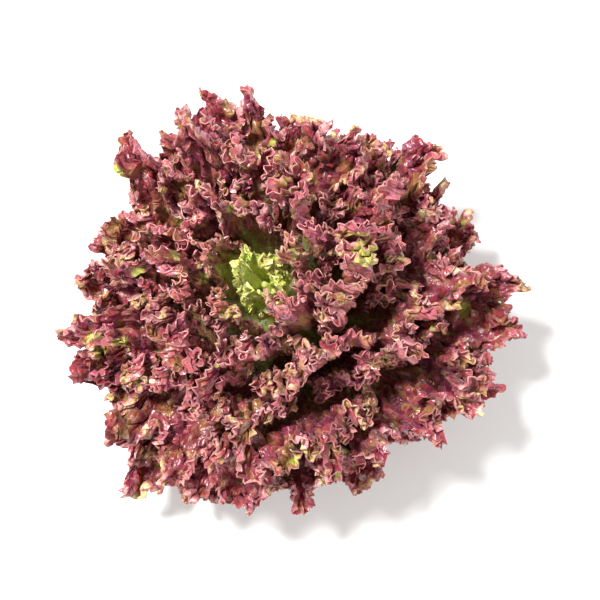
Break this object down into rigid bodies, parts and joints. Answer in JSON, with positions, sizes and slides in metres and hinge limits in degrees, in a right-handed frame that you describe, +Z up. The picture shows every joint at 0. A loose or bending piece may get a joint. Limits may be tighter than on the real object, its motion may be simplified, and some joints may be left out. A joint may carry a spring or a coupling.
{
  "type": "lollo rosso lettuce head",
  "caption": "Free-standing head of frilled red lettuce on its cut stem: a dense spiral of crimped leaves round a small green heart.",
  "frame": {"origin": "middle of the stem's cut face, on the surface that the head stands on", "axes": "+Z up along the stem, +X to the right and +Y to the top of the picture"},
  "size_m": [0.2008, 0.1842, 0.1377],
  "materials": {
    "outer_leaf": "satin",
    "inner_leaf": "satin",
    "heart_leaf": "satin",
    "stem": "matt"
  },
  "bodies": {
    "root": {"stem": "stem", "leaf_01": "outer_leaf", "leaf_02": "outer_leaf", "leaf_03": "outer_leaf", "leaf_04": "outer_leaf", "leaf_05": "outer_leaf", "leaf_06": "outer_leaf", "leaf_07": "outer_leaf", "leaf_08": "outer_leaf", "leaf_09": "outer_leaf", "leaf_10": "outer_leaf", "leaf_11": "outer_leaf", "leaf_12": "outer_leaf", "leaf_13": "outer_leaf", "leaf_14": "outer_leaf", "leaf_15": "outer_leaf", "leaf_16": "outer_leaf", "leaf_17": "outer_leaf", "leaf_18": "outer_leaf", "leaf_19": "outer_leaf", "leaf_20": "outer_leaf", "leaf_21": "outer_leaf", "leaf_22": "outer_leaf", "leaf_23": "inner_leaf", "leaf_24": "inner_leaf", "leaf_25": "inner_leaf", "leaf_26": "inner_leaf", "leaf_27": "inner_leaf", "leaf_28": "inner_leaf", "leaf_29": "inner_leaf", "leaf_30": "inner_leaf", "leaf_31": "inner_leaf", "leaf_32": "inner_leaf", "leaf_33": "inner_leaf", "leaf_34": "inner_leaf", "leaf_35": "inner_leaf", "leaf_36": "inner_leaf", "leaf_37": "inner_leaf", "leaf_38": "inner_leaf", "leaf_39": "inner_leaf", "leaf_40": "inner_leaf", "leaf_41": "inner_leaf", "leaf_42": "inner_leaf", "leaf_43": "inner_leaf", "leaf_44": "inner_leaf", "heart": "heart_leaf"}
  },
  "joints": []
}
